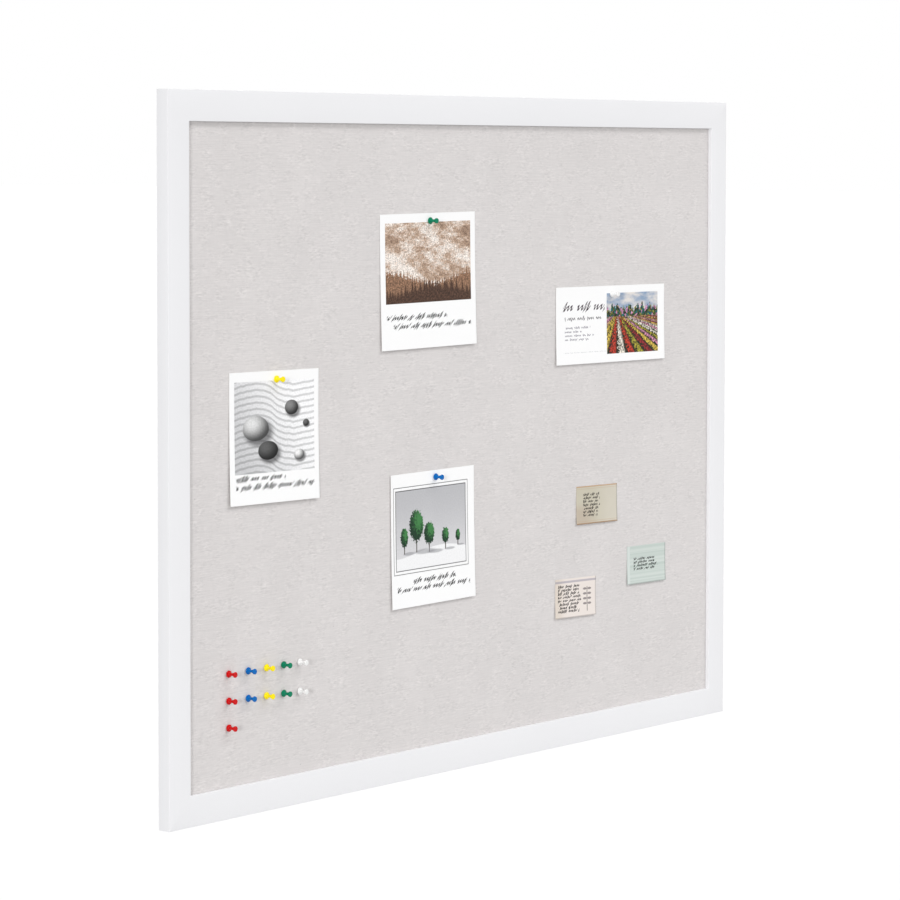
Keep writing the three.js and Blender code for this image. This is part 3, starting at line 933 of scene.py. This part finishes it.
def add_linen(material):
    """One cloth, stretched over the panel and turned over behind it, with its hem mitred."""
    low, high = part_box("linen_cover")
    thickness = CLOTH_THICKNESS * MM
    path = wrap_path(low.y + thickness / 2, high.y - thickness / 2)
    inset = thickness / 2 + CLOTH_FOLD * MM
    half = (high.x - inset, high.z - inset)
    shape = bmesh.new()
    columns = []
    for across in spread(LINEN_STEPS[0]):
        columns.append([(across * half[0], path[0][1], up * half[1]) for up in spread(LINEN_STEPS[1])])
    skin(shape, columns)
    for axis in (0, 1):
        for side in (-1, 1):
            skin(shape, linen_flap(path, half, axis, side))
    for side_x in (-1, 1):
        for side_z in (-1, 1):
            skin(shape, linen_corner(path, half, side_x, side_z))
    bmesh.ops.remove_doubles(shape, verts=shape.verts, dist=WELD)
    area = sum(each.calc_area() for each in shape.faces)
    wrap = sum(math.dist(first, second) for first, second in zip(path, path[1:]))
    piece = add_piece("linen_sheet", shape, [material], "board", ["linen_cover"])
    sharpen_border(piece.data)
    thicken = piece.modifiers.new("cloth", "SOLIDIFY")
    thicken.thickness = thickness
    thicken.offset = 0.0
    flat = (2 * (half[0] + wrap), 2 * (half[1] + wrap))


def turn_on_lathe(profile, sides, place, forward=-1.0):
    """A new shape, turned along Y: points of radius and distance from a place, in millimetres."""
    rings = []
    for radius, distance in profile:
        ring = [Vector((radius * x, forward * distance, radius * z)) for x, z in circle(sides)]
        rings.append([place + offset * MM for offset in ring])
    return loft(rings)


def head_profile(flange, length):
    """The pin head from its flat back to the moulding gate in its knob."""
    rim = flange - FLANGE_ROUNDING
    knob_back = length - KNOB_THICKNESS
    gate = length - GATE_DEPTH
    profile = [(flange / 2, 0.0)]
    profile += arc((rim, FLANGE_ROUNDING), FLANGE_ROUNDING, -QUARTER, 0, ROUNDING_STEPS)
    profile += arc((rim, FLANGE_THICKNESS - FLANGE_ROUNDING), FLANGE_ROUNDING, 0, QUARTER, ROUNDING_STEPS)
    middle = (FLANGE_THICKNESS + knob_back) / 2
    pull = 2 * WAIST_RADIUS - NECK_RADIUS
    for step in range(NECK_STEPS):
        on = step / NECK_STEPS
        first, between, last = (1 - on) ** 2, 2 * on * (1 - on), on ** 2
        radius = first * NECK_RADIUS + between * pull + last * NECK_RADIUS
        profile.append((radius, first * FLANGE_THICKNESS + between * middle + last * knob_back))
    profile += arc((NECK_RADIUS, knob_back + KNOB_ROUNDING), KNOB_ROUNDING, -QUARTER, 0, ROUNDING_STEPS)
    profile += arc((NECK_RADIUS, length - KNOB_ROUNDING), KNOB_ROUNDING, 0, QUARTER, ROUNDING_STEPS)
    return profile + [(GATE_RADIUS + GATE_SLOPE, length), (GATE_RADIUS, gate), (GATE_MIDDLE, gate)]


def needle_profile(wire, tip, grip):
    """The needle from its point to its end inside the head."""
    profile = [(NEEDLE_POINT, tip)]
    profile += [(wire * thick, tip + NEEDLE_TAPER * back) for thick, back in NEEDLE_SWELL]
    return profile + [(wire, grip), (wire / 2, grip)]


def add_pin(body, plastic, steel):
    """A turned head on a tapered needle, where the CAD pin is."""
    head_low, head_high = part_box(f"{body}_head")
    needle_low, needle_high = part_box(f"{body}_needle")
    middle = (head_low + head_high) / 2
    place = Vector((middle.x, head_high.y, middle.z))
    flange = (head_high.z - head_low.z) / 2 / MM
    length = (head_high.y - head_low.y) / MM
    head = turn_on_lathe(head_profile(flange, length), TURNED_SIDES, place)
    add_piece(f"{body}_moulding", head, [plastic], body, [f"{body}_head"])
    wire = (needle_high.z - needle_low.z) / 2 / MM
    tip = (place.y - needle_high.y) / MM
    grip = (place.y - needle_low.y) / MM
    needle = turn_on_lathe(needle_profile(wire, tip, grip), TURNED_SIDES // 2, place)
    add_piece(f"{body}_wire", needle, [steel], body, [f"{body}_needle"])


def add_pins(steel):
    """All the push pins, each in the colour that its body's name gives."""
    plastics = {tone: plastic_material(f"{tone}_plastic", rgb) for tone, rgb in PIN_COLOURS.items()}
    for body in frame["bodies"]:
        if body.startswith("pin_"):
            colour = body.split("_")[1]
            add_pin(body, plastics[colour], steel)


def measure_sheet(node):
    """A flat sheet's middle, size and directions, from the corners of its CAD node."""
    points = [vertex.co.copy() for vertex in frame["nodes"][node].data.vertices]
    low_left = min(points, key=lambda p: p.x + p.z)
    low_right = max(points, key=lambda p: p.x - p.z)
    top_left = min(points, key=lambda p: p.x - p.z)
    top_right = max(points, key=lambda p: p.x + p.z)
    flat = Vector((1.0, 0.0, 1.0))
    across = (low_right - low_left) * flat
    up = (top_left - low_left) * flat
    low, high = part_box(node)
    return {
        "middle": (low_left + top_right) / 2 * flat,
        "width": across.length,
        "height": up.length,
        "across": across.normalized(),
        "up": up.normalized(),
        "front": low.y,
        "back": high.y,
    }


def paper_layer(sheet, curl, depth):
    """One side of a sheet of paper, as rows of points from the top down."""
    bottom, right, left = curl
    for step in range(PAPER_STEPS + 1):
        down = step / PAPER_STEPS
        row = []
        for side in spread(PAPER_STEPS):
            aside = (right if side > 0 else left) * side ** 2
            away = math.hypot(bottom * down ** 2, aside) * MM
            point = sheet["middle"] + sheet["across"] * sheet["width"] * side / 2
            point = point + sheet["up"] * sheet["height"] * (0.5 - down)
            row.append((point.x, depth - away, point.z))
        yield row


def add_paper(node, body, sheet, curl, plain, printed):
    """A sheet of paper whose lower edge and sides stand a little away from the linen."""
    shape = bmesh.new()
    front = skin(shape, paper_layer(sheet, curl, sheet["front"]))
    for face in shape.faces:
        face.material_index = 1
    back = skin(shape, paper_layer(sheet, curl, sheet["back"]))
    for edge in (0, PAPER_STEPS):
        bridge(shape, [front[edge], back[edge]])
        bridge(shape, [[row[edge] for row in front], [row[edge] for row in back]])
    add_piece(f"{node}_sheet", shape, [plain, printed], body, [node])


def add_papers():
    """Four cards on their pins and three stuck-on notes."""
    card_back = paper_material("card_back", (250, 250, 248))
    cards = [
        ("photo_card_warm", warm_print),
        ("photo_card_grey", grey_print),
        ("photo_card_leaf", leaf_print),
        ("greeting_card", greeting_print),
    ]
    for node, face in cards:
        sheet = measure_sheet(node)
        add_paper(node, node, sheet, CARD_CURLS[node], card_back, face(sheet))
    notes = [
        ("beige", beige_print, (222, 211, 190)),
        ("mint", mint_print, (208, 226, 219)),
        ("cream", cream_print, (238, 231, 224)),
    ]
    for tone, face, colour in notes:
        node = f"note_{tone}"
        slot = f"{tone}_paper"
        sheet = measure_sheet(node)
        add_paper(node, "board", sheet, NOTE_CURL, paper_material(slot, colour), face(sheet))


def add_retaining_points(material):
    """A row of flat steel points round the rebate; the middle one of each side is a CAD node."""
    low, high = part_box("retaining_point_top")
    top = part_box("rail_top")[1].z
    half = POINT_WIDTH * MM / 2
    shoulder = high.z - POINT_TIP * MM
    corners = [(-half, low.z), (half, low.z), (half, shoulder), (0.0, high.z), (-half, shoulder)]
    for side, turned, length, reach in board_sides():
        count = POINT_COUNTS[side]
        for index in range(count):
            offset = length * ((index + 0.5) / count - 0.5)
            rings = []
            for depth in (low.y, high.y):
                rings.append([turned @ Vector((x + offset, depth, z + reach - top)) for x, z in corners])
            name = f"steel_point_{side}_{index + 1}"
            nodes = [f"retaining_point_{side}"] if index == count // 2 else []
            ease_edges(add_piece(name, loft(rings), [material], "board", nodes), POINT_BEVEL)


def add_strap(side, steel):
    """A steel strip whose upper end is rolled into an eye. Gives the eye's middle."""
    low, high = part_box(f"hanger_strap_{side}")
    middle = (low + high) / 2
    thickness = STRAP_THICKNESS * MM
    outer = (high.y - low.y) / 2
    eye = Vector((middle.x, middle.y, high.z - outer))
    roll = outer - thickness / 2
    path = [(eye.y - roll, low.z + (eye.z - low.z) * step / STRAP_STEPS) for step in range(STRAP_STEPS)]
    path += arc((eye.y, eye.z), roll, math.pi, math.pi - EYE_END, EYE_STEPS)
    rings = []
    for index, (depth, level) in enumerate(path):
        before = Vector(path[max(index - 1, 0)])
        after = Vector(path[min(index + 1, len(path) - 1)])
        ahead = (after - before).normalized()
        normal = Vector((-ahead.y, ahead.x)) * thickness / 2
        ring = []
        for x, sign in ((low.x, -1), (high.x, -1), (high.x, 1), (low.x, 1)):
            ring.append((x, depth + sign * normal.x, level + sign * normal.y))
        rings.append(ring)
    strap = add_piece(f"strap_{side}", loft(rings), [steel], "board", [f"hanger_strap_{side}"])
    ease_edges(strap, STRAP_BEVEL)
    return eye


def ring_path(bar, half, legs, corner):
    """A D: a straight bar on top, rounded corners, short legs and a half-round bow."""
    points = [(-bar + 2 * bar * step / BAR_STEPS, 0.0) for step in range(BAR_STEPS)]
    points += arc((bar, -corner), corner, QUARTER, 0, BEND_STEPS)
    points += arc((0.0, -legs), half, 0, -2 * QUARTER, BOW_STEPS)
    points += arc((-bar, -corner), corner, 2 * QUARTER, QUARTER, BEND_STEPS)[:-1]
    return points


def closed_tube(path, radius, sides):
    """A new shape: a round wire along a closed path in the XZ plane."""
    side = Vector((0.0, 1.0, 0.0))
    rings = []
    for index, point in enumerate(path):
        ahead = (path[(index + 1) % len(path)] - path[index - 1]).normalized()
        out = ahead.cross(side)
        rings.append([point + (side * sine + out * cosine) * radius for cosine, sine in circle(sides)])
    shape = bmesh.new()
    made = skin(shape, rings, closed=True)
    bridge(shape, [made[-1], made[0]], closed=True)
    return shape


def add_ring(side, steel, eye):
    """A D-ring of round wire, whose bar lies in the strap's eye."""
    low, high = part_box(f"hanger_ring_{side}")
    wire = RING_WIRE * MM
    corner = RING_CORNER * MM
    half = (high.x - low.x) / 2 - wire
    legs = eye.z - low.z - wire - half
    path = [eye + Vector((x, 0.0, z)) for x, z in ring_path(half - corner, half, legs, corner)]
    shape = closed_tube(path, wire, RING_SIDES)
    add_piece(f"d_ring_{side}", shape, [steel], f"ring_{side}", [f"hanger_ring_{side}"])


def screw_profile():
    """A pan-head screw from its point to the top of its crown, along it from the head's seat."""
    profile = [(SCREW_POINT, -SCREW_LENGTH), (SCREW_SHANK, SCREW_TAPER - SCREW_LENGTH)]
    profile += [(SCREW_SHANK, 0.0), (SCREW_HEAD, 0.0)]
    for step in range(CROWN_STEPS):
        angle = QUARTER * step / CROWN_STEPS
        height = SCREW_RIM + (SCREW_HEAD_HEIGHT - SCREW_RIM) * math.sin(angle)
        profile.append((SCREW_HEAD * math.cos(angle), height))
    return profile + [(CROWN_FLAT, SCREW_HEAD_HEIGHT)]


def recess_cutter(place):
    """Two crossed bars in the shape of a driver; one is wider, so that no two faces coincide."""
    shape = bmesh.new()
    for turn, width in enumerate(RECESS_WIDTHS):
        size = Vector((RECESS_LENGTH, 2 * RECESS_DEPTH, width)) * MM
        spin = Matrix.Rotation(turn * QUARTER + RECESS_TURN, 4, "Y")
        bar = Matrix.Translation(place) @ spin @ Matrix.Diagonal((*size, 1.0))
        bmesh.ops.create_cube(shape, size=1.0, matrix=bar)
    return add_object("recess", shape)


def cut_recess(screw, cutter):
    """Takes the cutter out of the screw for good, and clears the slivers that the cut leaves."""
    recess = screw.modifiers.new("recess", "BOOLEAN")
    recess.object = cutter
    recess.operation = "DIFFERENCE"
    recess.solver = "EXACT"
    recess.use_self = True
    bpy.context.view_layer.update()
    evaluated = screw.evaluated_get(bpy.context.evaluated_depsgraph_get())
    mesh = bpy.data.meshes.new_from_object(evaluated)
    shape = bmesh.new()
    shape.from_mesh(mesh)
    bmesh.ops.dissolve_degenerate(shape, dist=SLIVER, edges=shape.edges)
    bmesh.ops.triangulate(shape, faces=shape.faces, ngon_method="BEAUTY")
    shape.to_mesh(mesh)
    shape.free()
    screw.modifiers.clear()
    screw.data = mesh
    bpy.data.objects.remove(cutter)


def add_screw(side, steel):
    """A pan head with a cross recess; the shank is in the rail."""
    low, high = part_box(f"hanger_screw_{side}")
    middle = (low + high) / 2
    top = Vector((middle.x, high.y, middle.z))
    seat = top + FRONT * SCREW_HEAD_HEIGHT * MM
    shape = turn_on_lathe(screw_profile(), SCREW_SIDES, seat, forward=1.0)
    screw = add_piece(f"screw_{side}", shape, [steel], "board", [f"hanger_screw_{side}"])
    cut_recess(screw, recess_cutter(top))


def add_hangers(steel):
    """Straps with rolled eyes, D-rings and screws, on the backs of the side rails."""
    for side in ("left", "right"):
        eye = add_strap(side, steel)
        add_ring(side, steel, eye)
        add_screw(side, steel)


def bumper_profile(radius, height):
    """A domed foot from its flat back to the dimple in its face."""
    shoulder = (radius - BUMPER_ROUNDING, height - BUMPER_ROUNDING)
    floor = height - DIMPLE_DEPTH
    profile = [(radius * BUMPER_BACK, 0.0), (radius - BUMPER_EASE, 0.0), (radius, BUMPER_EASE)]
    profile += arc(shoulder, BUMPER_ROUNDING, 0, QUARTER, DOME_STEPS)
    return profile + [(DIMPLE_RADIUS, height), (DIMPLE_FLOOR, floor), (DIMPLE_MIDDLE, floor)]


def add_bumpers(material):
    """Domed rubber feet that keep the board's lower edge off the wall."""
    for side in ("left", "right"):
        low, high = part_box(f"bumper_{side}")
        middle = (low + high) / 2
        place = Vector((middle.x, low.y, middle.z))
        profile = bumper_profile((high.z - low.z) / 2 / MM, (high.y - low.y) / MM)
        shape = turn_on_lathe(profile, TURNED_SIDES, place, forward=1.0)
        add_piece(f"rubber_foot_{side}", shape, [material], "board", [f"bumper_{side}"])


def dress_cad(materials):
    """The finish of the CAD nodes that stay."""
    for node, material in materials.items():
        piece = frame["nodes"][node]
        piece.data.materials.clear()
        piece.data.materials.append(material)


def add_sun(name, level, source, softness, facing):
    """A lamp that adds so much light to a pale surface facing one way."""
    lamp = bpy.data.lights.new(name, "SUN")
    direction = source.normalized()
    lamp.energy = math.pi * level / direction.dot(facing)
    lamp.angle = math.radians(softness)
    place_object(name, lamp).rotation_euler = direction.to_track_quat("Z", "Y").to_euler()


def add_world():
    """Even surroundings: plain light on the object, and white to the eye."""
    g = Graph("studio", "worlds")
    bpy.context.scene.world = g.owner
    strength = g.span(g.seen_rays(), WORLD_LEVEL, 1.0)
    background = g.value("Background", {"Color": WHITE, "Strength": strength})
    g.node("OutputWorld", {0: background})


def add_floor():
    """A pale floor well below the board, which takes its shadow."""
    g = Graph("floor")
    glow = {"Emission Color": WHITE, "Emission Strength": g.seen_rays() * FLOOR_GLOW}
    material = g.surface(FLOOR_COLOUR, 0.9, 0.0, **glow)
    shape = bmesh.new()
    bmesh.ops.create_grid(shape, x_segments=8, y_segments=8, size=FLOOR_SIZE / 2)
    floor = add_object("floor", shape)
    floor.data.materials.append(material)
    floor.location.z = cad_box[0].z - FLOOR_DROP


def add_camera():
    """The photograph's viewpoint, with its lens raised as the upright edges show."""
    data = bpy.data.cameras.new("camera")
    data.sensor_width = SENSOR_WIDTH
    data.lens = SENSOR_WIDTH * FOCAL_PIXELS / FRAME_PIXELS
    data.shift_y = (CENTRE_ROW - FRAME_PIXELS / 2) / FRAME_PIXELS
    data.clip_end = FLOOR_SIZE
    turn = Matrix.Rotation(-CAMERA_YAW, 4, "Z") @ Matrix.Rotation(QUARTER + CAMERA_PITCH, 4, "X")
    camera = place_object("camera", data)
    camera.matrix_world = Matrix.Translation(CAMERA_PLACE) @ turn @ Matrix.Rotation(CAMERA_ROLL, 4, "Z")
    bpy.context.scene.camera = camera


steel = steel_material()
corners = ("top_right", "bottom_right", "bottom_left", "top_left")

add_camera()
add_rails(paint_material())
add_linen(linen_material())
add_papers()
add_pins(steel)
add_retaining_points(steel)
add_hangers(steel)
add_bumpers(rubber_material())
dress_cad({"cork_sheet": cork_material(), "backing_board": hardboard_material()})
dress_cad({f"corner_nail_{corner}": steel for corner in corners})

add_world()
add_floor()
for step, aside in enumerate(TOP_SPREAD):
    source = TOP_FROM + Vector((aside, 0.0, 0.0))
    add_sun(f"top_light_{step + 1}", TOP_LEVEL / len(TOP_SPREAD), source, TOP_SOFTNESS, FRONT)
for lamp in LAMPS:
    add_sun(*lamp)
bpy.context.scene.view_settings.view_transform = "Standard"
